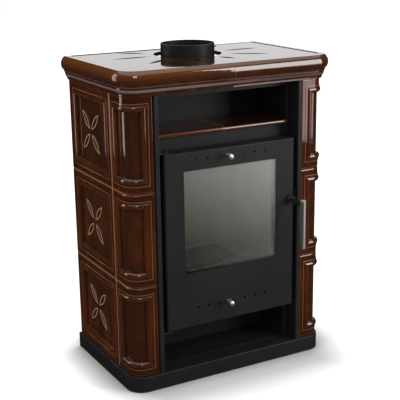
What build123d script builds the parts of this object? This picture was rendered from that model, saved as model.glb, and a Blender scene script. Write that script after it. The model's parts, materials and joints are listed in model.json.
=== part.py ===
"""Freestanding tiled stove: a steel firebox behind a glazed door, in a coat of glazed stove tiles.

Millimetres. +X is the stove's right side as seen from the front, +Y points to its back and +Z up.
The origin lies on the floor, at the centre of the plinth.
"""

import os
from math import asin, cos, hypot, radians, sin

from build123d import *

os.makedirs("parts", exist_ok=True)

# ---------------------------------------------------------------- driving dimensions
# plinth
plinth_width = 614.0
plinth_depth = 378.0
plinth_height = 44.0
plinth_corner_radius = 46.0
plinth_edge_radius = 3.0
plinth_wall = 3.0
base_plate_thickness = 3.0

# tile coat
tile_inset = 6.5              # from the plinth's edge back to the tile faces
tile_rows = 3
row_height = 252.0
tile_joint = 0.5
tile_depth = 22.0             # from the face back to the rim that bears on the casing
tile_wall = 12.0
tile_rim = 13.0
tile_edge_radius = 4.0
tile_corner_radius = 36.0     # rounded upright corner of the stove
corner_side_leg = 99.0
corner_front_leg = 75.0
bead_radius = 9.0
bead_proud = 4.0              # how far the bead stands out of the tile face
bead_side_margin = 26.0       # tile edge to the bead's centre line, along the wall
bead_rear_margin = 40.0       # the same at the stove's back
bead_end_margin = 32.0        # tile edge to the bead's centre line, up and down
frame_half_width = 13.0       # bead's centre line to the outer edge of its raised band
frame_proud = 1.2
field_depth = 5.5
petal_length = 66.0
petal_bulge = 9.5
petal_start = 9.0             # flower centre to the root of each petal
petal_ridge = 2.8
petal_height = 2.2

# cornice and ceramic top
cornice_height = 64.0
cornice_side_step = 1.5       # tile face out to the cornice's foot at the sides
cornice_front_step = 9.5
cornice_foot_radius = 40.0
cornice_rim = 22.0
cornice_reach = 18.5          # foot out to the crest of the bullnose
crest_drop = 21.0             # stove's top down to the crest
slab_thickness = 12.0
neck_step = 1.5
neck_height = 4.0
roll_height = 16.5
roll_middle = 6.6
roll_root = 8.0
cove_height = 9.5
cove_foot = 9.3
cove_head = 13.2
cove_hollow = 0.7             # how far the cove bends in from its chord
nose_foot = 14.6
rim_land = 7.5                # foot out to where the bullnose meets the top
border_inset = 24.5
border_depth = 1.2
cornice_joint = 0.8
flue_inset = 141.0             # stove's back to the flue's axis
flue_hole_radius = 95.0
leaf_slot_count = 10
leaf_slot_start_radius = 116.0
leaf_slot_long = 112.0
leaf_slot_short = 60.0
leaf_slot_middle = 84.0
leaf_slot_bulge = 9.0
leaf_edge_chamfer = 1.5

# steel front
jamb_width = 13.5
jamb_proud = 4.5
jamb_sheet = 2.0
jamb_outer_return = 24.0
recess_depth = 49.0           # front of the jambs back to the front plate
front_plate_thickness = 3.0
casing_sheet = 2.0
casing_clearance = 0.5
rear_inset = 3.0              # tile backs to the rear panel
top_plate_thickness = 2.0

# niches
niche_side_inset = 9.0        # jamb to the side of the warming niche
niche_drop = 19.0             # tile coat's top down to the niche's ceiling
niche_height = 103.0
niche_depth = 144.0           # front plate to the niche's back
storage_side_inset = 12.0
storage_height = 108.0
storage_depth = 108.0
liner_sheet = 2.0
shelf_side_gap = 7.0
shelf_thickness = 10.0
shelf_proud = 14.0

# firebox
firebox_side_gap = 80.0       # casing to the firebox
firebox_rear_gap = 56.0       # rear panel to the firebox
firebox_floor_step = 18.0     # storage niche's ceiling up to the firebox
firebox_wall = 4.0
shoulder_gap = 10.0           # warming niche's floor down to the firebox
smoke_gap = 6.0               # warming niche's back to the smoke shaft
smoke_lip_margin = 9.0        # flue collar to the lip of the smoke shaft
smoke_lip_height = 14.0
hearth_rise = 98.0            # firebox foot to the hearth
mouth_side = 36.0             # firebox side to its mouth
mouth_margin = 14.0           # door window's top to the top of the mouth
ash_mouth_side = 38.0         # side of the fire's mouth to the side of the ash pan's
ash_mouth_height = 74.0
brick_thickness = 28.0
floor_brick_thickness = 26.0
brick_clearance = 0.5
baffle_drop = 68.0            # firebox shoulder down to the top of the side bricks
baffle_thickness = 20.0
baffle_front_gap = 63.0       # firebox front to the baffle
grate_half_width = 80.0
grate_front_gap = 25.0        # firebox front to the grate
grate_length = 152.0
grate_thickness = 10.0
grate_ledge = 9.0
grate_bars = 7
grate_slot_width = 9.0
ash_pan_wall = 1.5
ash_pan_height = 60.0
ash_pan_depth = 190.0
ash_pan_side_gap = 4.0
ash_pan_front_gap = 2.0

# flue collar
collar_radius = 75.0
collar_wall = 3.0
collar_rise = 29.0            # ceramic top to the collar's rim
collar_flange_radius = 92.0
collar_flange_thickness = 4.0
flue_opening_gap = 8.0        # collar's flange to the edge of the top plate's hole
collar_bolt_circle_radius = 84.0
collar_bolts_count = 4
collar_bolt_head_radius = 5.0
collar_bolt_head_height = 4.0

# door
door_side_gap = 12.0
door_low_gap = 3.0            # storage niche's ceiling up to the door
door_high_gap = 35.0          # door up to the warming niche's floor
door_setback = 0.5            # front of the jambs back to the door face
door_back_gap = 10.0          # door's rim to the front plate
door_skin = 3.0
door_return = 2.5
door_edge_radius = 4.0
door_inner_frame_thickness = 2.0
door_fit = 0.5
window_stile = 56.3           # door's side edge to the window
window_foot = 155.0           # door's bottom to the window
window_head = 51.0            # window to the door's top
window_corner_radius = 3.0
glass_overlap = 8.0
glass_thickness = 4.0
gasket_thickness = 2.0
gasket_width = 7.0
retainer_thickness = 2.0
retainer_width = 22.0
retainer_reach = 7.0
retainer_foot = 10.0
inner_window_margin = 14.0
seal_inset = 10.0
seal_width = 9.5
seal_bend_radius = 14.0
seal_chamfer = 2.0
seal_clearance = 0.3

# hinge
hinge_inset = 10.0            # door's side edge to the hinge axis
hinge_depth = 10.5            # door face to the hinge axis
hinge_pin_radius = 4.0
hinge_clearance = 0.05
hinge_tab_thickness = 4.0
hinge_tab_gap = 1.0
hinge_tab_width = 16.0
hinge_flange_height = 16.0
hinge_block_height = 24.0
hinge_block_width = 13.0
hinge_pin_head_radius = 6.0
hinge_pin_head_height = 3.0

# air controls in the door
air_hole_radius = 3.3
air_hole_pitch = 32.6
air_holes_each_side = 3
air_hole_first = 40.2
upper_air_drop = 22.0         # door's top down to the upper row of holes
lower_air_rise = 54.0         # door's bottom up to the lower row
slider_end = 18.6             # last hole to the slider's end
slider_height = 24.0
slider_thickness = 2.5
slider_clearance = 0.3
guide_lip = 3.0
guide_thickness = 2.0
guide_height = 4.0
knob_stem_radius = 3.0
knob_radius = 7.5
knob_reach = 30.0             # knob front to the door face
knob_dome = 3.0
knob_flare = 4.0

# handle and latch
handle_inset = 13.0           # door's side edge to the handle's pivot
handle_rise = 69.0            # door's middle up to the handle's pivot
handle_grip_radius = 8.2
handle_grip_length = 138.0
handle_head = 13.0            # pivot up to the grip's top
handle_stand_off = 64.0       # door face to the grip's axis
grip_chamfer = 1.0
handle_hub_radius = 14.0
handle_hub_thickness = 7.0
handle_stem_radius = 7.0
latch_shaft_radius = 5.0
latch_nose_reach = 20.0
latch_nose_thickness = 9.0
latch_nose_height = 12.0
latch_bush_radius = 11.0
latch_bush_length = 8.0
latch_clearance = 0.5
keeper_gap = 0.6
keeper_height = 44.0
keeper_sheet = 2.0

# air wash strip behind the foot of the glass
wash_slot_count = 6
wash_slot_pitch = 42.0
wash_slot_length = 14.0
wash_slot_height = 5.0
wash_strip_height = 24.0
wash_strip_margin = 6.3       # door window's side to the strip's end
wash_strip_sheet = 1.5
wash_strip_depth = 7.0

# rear panel and small fasteners
rear_slot_columns = 11
rear_slot_rows = 2
rear_slot_length = 150.0
rear_slot_width = 8.0
rear_slot_pitch = 40.0
rear_slot_row_pitch = 360.0
screw_head_radius = 4.0
screw_head_height = 2.4
clip_length = 20.0
clip_reach = 7.0
clip_height = 14.0
clip_sheet = 2.0
clip_inset = 40.0             # tile end to the clip, along the wall

# ---------------------------------------------------------------- planes and places
face_x = plinth_width / 2 - tile_inset
face_y = -plinth_depth / 2 + tile_inset
rear_y = plinth_depth / 2
tiles_top_z = plinth_height + tile_rows * row_height
side_joint_y = face_y + corner_side_leg
leg_end_x = face_x - corner_front_leg

jamb_outer_x = leg_end_x - tile_joint
jamb_inner_x = jamb_outer_x - jamb_width + tile_joint
jamb_face_y = face_y - jamb_proud
plate_face_y = jamb_face_y + recess_depth
plate_back_y = plate_face_y + front_plate_thickness

flue_y = rear_y - flue_inset

casing_outer_x = face_x - tile_depth - casing_clearance
casing_inner_x = casing_outer_x - casing_sheet
rear_panel_back_y = rear_y - rear_inset
rear_panel_front_y = rear_panel_back_y - casing_sheet
top_plate_z = tiles_top_z + top_plate_thickness

niche_half_width = jamb_inner_x - niche_side_inset
niche_ceiling_z = tiles_top_z - niche_drop
niche_floor_z = niche_ceiling_z - niche_height
niche_back_y = plate_face_y + niche_depth
storage_half_width = jamb_inner_x - storage_side_inset
storage_floor_z = plinth_height + liner_sheet
storage_ceiling_z = storage_floor_z + storage_height
storage_back_y = plate_face_y + storage_depth
shelf_half_width = niche_half_width - shelf_side_gap

cornice_foot_x = face_x + cornice_side_step
cornice_foot_y = face_y - cornice_front_step
cornice_top_z = tiles_top_z + cornice_height
slab_bottom_z = cornice_top_z - slab_thickness
collar_top_z = cornice_top_z + collar_rise

door_bottom_z = storage_ceiling_z + door_low_gap
door_top_z = niche_floor_z - door_high_gap
door_half_width = jamb_inner_x - door_side_gap
door_face_y = jamb_face_y + door_setback
skin_back_y = door_face_y + door_skin
door_back_y = plate_face_y - door_back_gap
door_height = door_top_z - door_bottom_z
door_mid_z = (door_top_z + door_bottom_z) / 2
inner_frame_back_y = door_back_y - door_fit
inner_frame_front_y = inner_frame_back_y - door_inner_frame_thickness
window_half_width = door_half_width - window_stile
window_bottom_z = door_bottom_z + window_foot
window_top_z = door_top_z - window_head
glass_front_y = skin_back_y + gasket_thickness
glass_back_y = glass_front_y + glass_thickness
glass_half_width = window_half_width + glass_overlap
glass_bottom_z = window_bottom_z - glass_overlap
glass_top_z = window_top_z + glass_overlap

hinge_x = -door_half_width + hinge_inset
hinge_y = door_face_y + hinge_depth
handle_x = door_half_width - handle_inset
handle_axis_y = door_face_y - handle_stand_off
handle_z = door_mid_z + handle_rise
handle_grip_top_z = handle_z + handle_head
upper_air_z = door_top_z - upper_air_drop
lower_air_z = door_bottom_z + lower_air_rise
slider_travel = air_hole_pitch / 2
knob_rest_x = -slider_travel
slider_half_length = air_hole_first + (air_holes_each_side - 1) * air_hole_pitch + slider_end
slider_front_y = skin_back_y + slider_clearance
slider_back_y = slider_front_y + slider_thickness

firebox_half_width = casing_inner_x - firebox_side_gap
firebox_front_y = plate_back_y
firebox_back_y = rear_panel_front_y - firebox_rear_gap
firebox_bottom_z = storage_ceiling_z + firebox_floor_step
firebox_shoulder_z = niche_floor_z - shoulder_gap
firebox_top_z = tiles_top_z
smoke_front_y = niche_back_y + smoke_gap
smoke_lip_y = flue_y - collar_radius - smoke_lip_margin
hearth_z = firebox_bottom_z + hearth_rise
mouth_half_width = firebox_half_width - mouth_side
mouth_bottom_z = hearth_z + floor_brick_thickness
mouth_top_z = window_top_z + mouth_margin
ash_mouth_half_width = mouth_half_width - ash_mouth_side
side_brick_top_z = firebox_shoulder_z - baffle_drop
baffle_front_y = firebox_front_y + baffle_front_gap
grate_front_y = firebox_front_y + grate_front_gap
grate_back_y = grate_front_y + grate_length


def front_plane(y):
    """Plane that faces the front at depth y: its own x runs along X and its own y along Z."""
    return Plane.XZ.offset(-y)


def side_plane(side, x):
    """Plane that faces outwards on one side: its own x runs along side * Y, its own y along Z."""
    return Plane(origin=(side * x, 0, 0), x_dir=(0, side, 0), z_dir=(side, 0, 0))


# ---------------------------------------------------------------- plinth
with BuildPart() as plinth:
    with BuildSketch(Plane.XY):
        Rectangle(plinth_width, plinth_depth)
        fillet(vertices().group_by(Axis.Y)[0], plinth_corner_radius)
    extrude(amount=plinth_height)
    fillet(edges().group_by(Axis.Z)[-1].sort_by(Axis.Y)[:-1], plinth_edge_radius)
    with BuildSketch(Plane.XY):
        Rectangle(plinth_width - 2 * plinth_wall, plinth_depth - 2 * plinth_wall)
        fillet(vertices().group_by(Axis.Y)[0], plinth_corner_radius - plinth_wall)
    extrude(amount=plinth_height - plinth_wall, mode=Mode.SUBTRACT)
plinth.part.label = "plinth"
export_step(plinth.part, "parts/plinth.step")

base_plate_inset = plinth_wall + brick_clearance
with BuildPart() as base_plate:
    with BuildSketch(Plane.XY):
        Rectangle(plinth_width - 2 * base_plate_inset, plinth_depth - 2 * base_plate_inset)
        fillet(vertices().group_by(Axis.Y)[0], plinth_corner_radius - base_plate_inset)
    extrude(amount=base_plate_thickness)
base_plate.part.label = "base_plate"
export_step(base_plate.part, "parts/base_plate.step")

# ---------------------------------------------------------------- steel casing
for side, name in ((-1, "jamb_left"), (1, "jamb_right")):
    jamb_mid_x = (jamb_outer_x + jamb_inner_x) / 2
    jamb_section_width = jamb_outer_x - jamb_inner_x
    outer_return_back_y = jamb_face_y + jamb_outer_return
    with BuildPart() as jamb:
        with BuildSketch(Plane.XY.offset(plinth_height)):
            with Locations((side * jamb_mid_x, (jamb_face_y + plate_face_y) / 2)):
                Rectangle(jamb_section_width, recess_depth)
            fillet(vertices().group_by(Axis.Y)[0], jamb_sheet)
            with Locations((side * jamb_mid_x, (jamb_face_y + jamb_sheet + plate_face_y) / 2)):
                Rectangle(
                    jamb_section_width - 2 * jamb_sheet,
                    recess_depth - jamb_sheet,
                    mode=Mode.SUBTRACT,
                )
            with Locations((side * (jamb_outer_x - jamb_sheet / 2),
                            (outer_return_back_y + plate_face_y) / 2)):
                Rectangle(jamb_sheet, plate_face_y - outer_return_back_y, mode=Mode.SUBTRACT)
        extrude(amount=tiles_top_z - plinth_height)
    jamb.part.label = name
    export_step(jamb.part, f"parts/{name}.step")

ash_mouth_bottom_z = firebox_bottom_z + firebox_wall
ash_mouth_mid_z = ash_mouth_bottom_z + ash_mouth_height / 2
mouth_mid_z = (mouth_bottom_z + mouth_top_z) / 2

with BuildPart() as front_plate:
    with BuildSketch(front_plane(plate_back_y)):
        with Locations((0, (plinth_height + tiles_top_z) / 2)):
            Rectangle(2 * casing_inner_x, tiles_top_z - plinth_height)
        with Locations((0, (niche_floor_z + niche_ceiling_z) / 2)):
            Rectangle(2 * niche_half_width, niche_ceiling_z - niche_floor_z, mode=Mode.SUBTRACT)
        with Locations((0, mouth_mid_z)):
            Rectangle(2 * mouth_half_width, mouth_top_z - mouth_bottom_z, mode=Mode.SUBTRACT)
        with Locations((0, ash_mouth_mid_z)):
            Rectangle(2 * ash_mouth_half_width, ash_mouth_height, mode=Mode.SUBTRACT)
        with Locations((0, (storage_floor_z + storage_ceiling_z) / 2)):
            Rectangle(
                2 * storage_half_width, storage_ceiling_z - storage_floor_z, mode=Mode.SUBTRACT
            )
    extrude(amount=front_plate_thickness)
front_plate.part.label = "front_plate"
export_step(front_plate.part, "parts/front_plate.step")

for side, name in ((-1, "side_casing_left"), (1, "side_casing_right")):
    with BuildPart() as casing:
        with BuildSketch(Plane.XY.offset(plinth_height)):
            with Locations((side * (casing_outer_x - casing_sheet / 2),
                            (plate_face_y + rear_panel_front_y) / 2)):
                Rectangle(casing_sheet, rear_panel_front_y - plate_face_y)
        extrude(amount=tiles_top_z - plinth_height)
    casing.part.label = name
    export_step(casing.part, f"parts/{name}.step")

casing_mid_z = (plinth_height + tiles_top_z) / 2
with BuildPart() as rear_panel:
    with BuildSketch(front_plane(rear_panel_back_y)):
        with Locations((0, casing_mid_z)):
            Rectangle(2 * casing_outer_x, tiles_top_z - plinth_height)
        with Locations((0, casing_mid_z)):
            with GridLocations(
                rear_slot_pitch, rear_slot_row_pitch, rear_slot_columns, rear_slot_rows
            ):
                Rectangle(rear_slot_width, rear_slot_length, mode=Mode.SUBTRACT)
    extrude(amount=casing_sheet)
rear_panel.part.label = "rear_panel"
export_step(rear_panel.part, "parts/rear_panel.step")

rear_screw_margin = 12.0
with BuildPart() as rear_screws:
    with BuildSketch(front_plane(rear_panel_back_y + screw_head_height)):
        with Locations((0, casing_mid_z)):
            with GridLocations(
                2 * casing_outer_x - 2 * rear_screw_margin,
                (tiles_top_z - plinth_height - 2 * rear_screw_margin) / 2,
                2,
                3,
            ):
                RegularPolygon(screw_head_radius, 6)
    extrude(amount=screw_head_height)
rear_screws.part.label = "rear_screws"
export_step(rear_screws.part, "parts/rear_screws.step")

top_plate_front_y = cornice_foot_y + cornice_rim + 2 * brick_clearance
top_plate_corner_radius = cornice_foot_radius - cornice_rim
flue_opening_radius = collar_flange_radius + flue_opening_gap
with BuildPart() as top_plate:
    with BuildSketch(Plane.XY.offset(tiles_top_z)):
        with Locations((0, (top_plate_front_y + rear_panel_back_y) / 2)):
            Rectangle(2 * casing_outer_x, rear_panel_back_y - top_plate_front_y)
        fillet(vertices().group_by(Axis.Y)[0], top_plate_corner_radius)
        with Locations((0, flue_y)):
            Circle(flue_opening_radius, mode=Mode.SUBTRACT)
            with PolarLocations(
                leaf_slot_start_radius + leaf_slot_long / 2, 2, start_angle=0, angular_range=360
            ):
                SlotOverall(leaf_slot_long, 3 * leaf_slot_bulge, mode=Mode.SUBTRACT)
    extrude(amount=top_plate_thickness)
top_plate.part.label = "top_plate"
export_step(top_plate.part, "parts/top_plate.step")

# ---------------------------------------------------------------- niches and their ceramic shelf


def open_front_box(half_width, bottom_z, top_z, back_y, sheet):
    """Sheet box that is open to the front, given by its clear inside."""
    with BuildPart() as box:
        with BuildSketch(front_plane(back_y + sheet)):
            with Locations((0, (bottom_z + top_z) / 2)):
                Rectangle(2 * (half_width + sheet), top_z - bottom_z + 2 * sheet)
        extrude(amount=back_y + sheet - plate_back_y)
        with BuildSketch(front_plane(back_y)):
            with Locations((0, (bottom_z + top_z) / 2)):
                Rectangle(2 * half_width, top_z - bottom_z)
        extrude(amount=back_y - plate_back_y, mode=Mode.SUBTRACT)
    return box


warming_niche_liner = open_front_box(
    niche_half_width, niche_floor_z, niche_ceiling_z, niche_back_y, liner_sheet
)
warming_niche_liner.part.label = "warming_niche_liner"
export_step(warming_niche_liner.part, "parts/warming_niche_liner.step")

storage_niche_liner = open_front_box(
    storage_half_width, storage_floor_z, storage_ceiling_z, storage_back_y, liner_sheet
)
storage_niche_liner.part.label = "storage_niche_liner"
export_step(storage_niche_liner.part, "parts/storage_niche_liner.step")

shelf_front_y = plate_face_y - shelf_proud
shelf_back_y = niche_back_y - brick_clearance
for side, name in ((-1, "shelf_tile_left"), (1, "shelf_tile_right")):
    shelf_tile_width = shelf_half_width - tile_joint / 2
    with BuildPart() as shelf_tile:
        with BuildSketch(Plane.XY.offset(niche_floor_z)):
            with Locations((side * (tile_joint / 2 + shelf_tile_width / 2),
                            (shelf_front_y + shelf_back_y) / 2)):
                Rectangle(shelf_tile_width, shelf_back_y - shelf_front_y)
        extrude(amount=shelf_thickness)
        front_edges = faces().sort_by(Axis.Y)[0].edges().filter_by(Axis.X)
        fillet(front_edges, shelf_thickness * 0.45)
    shelf_tile.part.label = name
    export_step(shelf_tile.part, f"parts/{name}.step")

# ---------------------------------------------------------------- firebox
smoke_lip_bottom_z = firebox_top_z - smoke_lip_height


def firebox_profile(inset, bottom_z):
    """Side view of the firebox, stepped back behind the warming niche, drawn inset by a wall."""
    with BuildLine() as profile:
        Polyline(
            (firebox_front_y + inset, bottom_z + inset),
            (firebox_back_y - inset, bottom_z + inset),
            (firebox_back_y - inset, firebox_top_z - inset),
            (smoke_lip_y + inset, firebox_top_z - inset),
            (smoke_lip_y + inset, smoke_lip_bottom_z + inset),
            (smoke_front_y + inset, smoke_lip_bottom_z + inset),
            (smoke_front_y + inset, firebox_shoulder_z - inset),
            (firebox_front_y + inset, firebox_shoulder_z - inset),
            close=True,
        )
    make_face(profile.edges())


ash_chamber_height = hearth_z - firebox_wall - ash_mouth_bottom_z
grate_mid_y = (grate_front_y + grate_back_y) / 2
with BuildPart() as firebox_body:
    with BuildSketch(Plane.YZ):
        firebox_profile(0, firebox_bottom_z)
    extrude(amount=firebox_half_width, both=True)
    with BuildSketch(Plane.YZ):
        firebox_profile(firebox_wall, hearth_z - firebox_wall)
    extrude(amount=firebox_half_width - firebox_wall, both=True, mode=Mode.SUBTRACT)
    with BuildSketch(Plane.XY.offset(ash_mouth_bottom_z)):
        with Locations((0, (firebox_front_y + firebox_back_y) / 2)):
            Rectangle(
                2 * (firebox_half_width - firebox_wall),
                firebox_back_y - firebox_front_y - 2 * firebox_wall,
            )
    extrude(amount=ash_chamber_height, mode=Mode.SUBTRACT)
    with BuildSketch(Plane.XY.offset(hearth_z)):
        with Locations((0, grate_mid_y)):
            Rectangle(2 * (grate_half_width - grate_ledge), grate_length - 2 * grate_ledge)
    extrude(amount=-firebox_wall, mode=Mode.SUBTRACT)
    with BuildSketch(front_plane(firebox_front_y + firebox_wall)):
        with Locations((0, mouth_mid_z)):
            Rectangle(2 * mouth_half_width, mouth_top_z - mouth_bottom_z)
        with Locations((0, ash_mouth_mid_z)):
            Rectangle(2 * ash_mouth_half_width, ash_mouth_height)
    extrude(amount=firebox_wall, mode=Mode.SUBTRACT)
    with BuildSketch(Plane.XY.offset(firebox_top_z)):
        with Locations((0, flue_y)):
            Circle(collar_radius - collar_wall)
    extrude(amount=-firebox_wall, mode=Mode.SUBTRACT)
firebox_body.part.label = "firebox_body"
export_step(firebox_body.part, "parts/firebox_body.step")

chamber_half_width = firebox_half_width - firebox_wall - brick_clearance
chamber_front_y = firebox_front_y + firebox_wall
chamber_back_y = firebox_back_y - firebox_wall - brick_clearance
back_brick_front_y = chamber_back_y - brick_thickness
floor_brick_top_z = mouth_bottom_z
floor_brick_front_y = chamber_front_y + brick_clearance

with BuildPart() as firebrick_floor:
    with BuildSketch(Plane.XY.offset(hearth_z)):
        with Locations((0, (floor_brick_front_y + back_brick_front_y) / 2)):
            Rectangle(2 * chamber_half_width, back_brick_front_y - floor_brick_front_y)
        with Locations((0, grate_mid_y)):
            Rectangle(
                2 * (grate_half_width - grate_ledge),
                grate_length - 2 * grate_ledge,
                mode=Mode.SUBTRACT,
            )
    extrude(amount=floor_brick_thickness)
    with BuildSketch(Plane.XY.offset(floor_brick_top_z)):
        with Locations((0, grate_mid_y)):
            Rectangle(
                2 * (grate_half_width + brick_clearance), grate_length + 2 * brick_clearance
            )
    extrude(amount=-grate_thickness, mode=Mode.SUBTRACT)
firebrick_floor.part.label = "firebrick_floor"
export_step(firebrick_floor.part, "parts/firebrick_floor.step")

with BuildPart() as firebrick_back:
    with BuildSketch(Plane.XY.offset(hearth_z)):
        with Locations((0, (back_brick_front_y + chamber_back_y) / 2)):
            Rectangle(2 * chamber_half_width, brick_thickness)
    extrude(amount=side_brick_top_z + baffle_thickness - hearth_z)
firebrick_back.part.label = "firebrick_back"
export_step(firebrick_back.part, "parts/firebrick_back.step")

for side, name in ((-1, "firebrick_left"), (1, "firebrick_right")):
    with BuildPart() as side_brick:
        with BuildSketch(Plane.XY.offset(floor_brick_top_z)):
            with Locations((side * (chamber_half_width - brick_thickness / 2),
                            (floor_brick_front_y + back_brick_front_y) / 2)):
                Rectangle(brick_thickness, back_brick_front_y - floor_brick_front_y)
        extrude(amount=side_brick_top_z - floor_brick_top_z)
    side_brick.part.label = name
    export_step(side_brick.part, f"parts/{name}.step")

with BuildPart() as baffle_plate:
    with BuildSketch(Plane.XY.offset(side_brick_top_z)):
        with Locations((0, (baffle_front_y + back_brick_front_y) / 2)):
            Rectangle(2 * chamber_half_width, back_brick_front_y - baffle_front_y)
    extrude(amount=baffle_thickness)
    fillet(faces().sort_by(Axis.Y)[0].edges().filter_by(Axis.X), brick_thickness / 7)
baffle_plate.part.label = "baffle_plate"
export_step(baffle_plate.part, "parts/baffle_plate.step")

grate_slot_length = grate_length - 4 * grate_ledge
grate_bar_pitch = 2 * (grate_half_width - grate_ledge) / grate_bars
with BuildPart() as grate:
    with BuildSketch(Plane.XY.offset(floor_brick_top_z - grate_thickness)):
        with Locations((0, grate_mid_y)):
            Rectangle(2 * grate_half_width, grate_length)
            with GridLocations(grate_bar_pitch, 1, grate_bars, 1):
                Rectangle(grate_slot_width, grate_slot_length, mode=Mode.SUBTRACT)
    extrude(amount=grate_thickness)
grate.part.label = "grate"
export_step(grate.part, "parts/grate.step")

ash_pan_half_width = ash_mouth_half_width - ash_pan_side_gap
ash_pan_front_y = plate_face_y + ash_pan_front_gap
with BuildPart() as ash_pan:
    with BuildSketch(Plane.XY.offset(ash_mouth_bottom_z)):
        with Locations((0, ash_pan_front_y + ash_pan_depth / 2)):
            Rectangle(2 * ash_pan_half_width, ash_pan_depth)
    extrude(amount=ash_pan_height)
    offset(amount=-ash_pan_wall, openings=faces().sort_by(Axis.Z)[-1])
ash_pan.part.label = "ash_pan"
export_step(ash_pan.part, "parts/ash_pan.step")

# ---------------------------------------------------------------- flue collar
with BuildPart() as flue_collar:
    with BuildSketch(Plane.XY.offset(tiles_top_z)):
        with Locations((0, flue_y)):
            Circle(collar_flange_radius)
    extrude(amount=collar_flange_thickness)
    with BuildSketch(Plane.XY.offset(tiles_top_z)):
        with Locations((0, flue_y)):
            Circle(collar_radius)
    extrude(amount=collar_top_z - tiles_top_z)
    with BuildSketch(Plane.XY.offset(tiles_top_z)):
        with Locations((0, flue_y)):
            Circle(collar_radius - collar_wall)
    extrude(amount=collar_top_z - tiles_top_z, mode=Mode.SUBTRACT)
flue_collar.part.label = "flue_collar"
export_step(flue_collar.part, "parts/flue_collar.step")

with BuildPart() as collar_bolts:
    with BuildSketch(Plane.XY.offset(tiles_top_z + collar_flange_thickness)):
        with Locations((0, flue_y)):
            with PolarLocations(collar_bolt_circle_radius, collar_bolts_count, start_angle=45):
                RegularPolygon(collar_bolt_head_radius, 6)
    extrude(amount=collar_bolt_head_height)
collar_bolts.part.label = "collar_bolts"
export_step(collar_bolts.part, "parts/collar_bolts.step")

# ---------------------------------------------------------------- cornice and ceramic top
section_foot_z = tiles_top_z


def cornice_section():
    """Closed section of the cornice: foot, roll, cove and large bullnose, then the rim."""
    cove_middle = ((cove_foot + cove_head) / 2 - cove_hollow, (roll_top_z + nose_bottom_z) / 2)
    with BuildLine() as section_line:
        Polyline(
            (rim_land, cornice_top_z),
            (-cornice_rim, cornice_top_z),
            (-cornice_rim, section_foot_z),
            (neck_step, section_foot_z),
            (neck_step, roll_bottom_z),
        )
        ThreePointArc(
            (neck_step, roll_bottom_z),
            (roll_middle, (roll_bottom_z + roll_top_z) / 2),
            (roll_root, roll_top_z),
        )
        Line((roll_root, roll_top_z), (cove_foot, roll_top_z))
        ThreePointArc((cove_foot, roll_top_z), cove_middle, (cove_head, nose_bottom_z))
        Line((cove_head, nose_bottom_z), (nose_foot, nose_bottom_z))
        TangentArc((cornice_reach, crest_z), (nose_foot, nose_bottom_z), tangent=(0, -1))
        TangentArc((cornice_reach, crest_z), (rim_land, cornice_top_z), tangent=(0, 1))
    make_face(section_line.edges())


def leaf(root, turn, length, bulge, ridge=0.0, mode=Mode.ADD):
    """Pointed leaf from its root in a direction in degrees, drawn inset by the ridge's width."""
    arc_radius = (length**2 / 4 + bulge**2) / (2 * bulge)
    half = ((arc_radius - ridge) ** 2 - (arc_radius - bulge) ** 2) ** 0.5
    along = Vector(cos(radians(turn)), sin(radians(turn)))
    across = Vector(-along.Y, along.X) * (bulge - ridge)
    middle = Vector(*root) + along * (length / 2)
    start = middle - along * half
    end = middle + along * half
    with BuildLine() as leaf_line:
        ThreePointArc(start, middle + across, end)
        ThreePointArc(end, middle - across, start)
    make_face(leaf_line.edges(), mode=mode)


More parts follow.
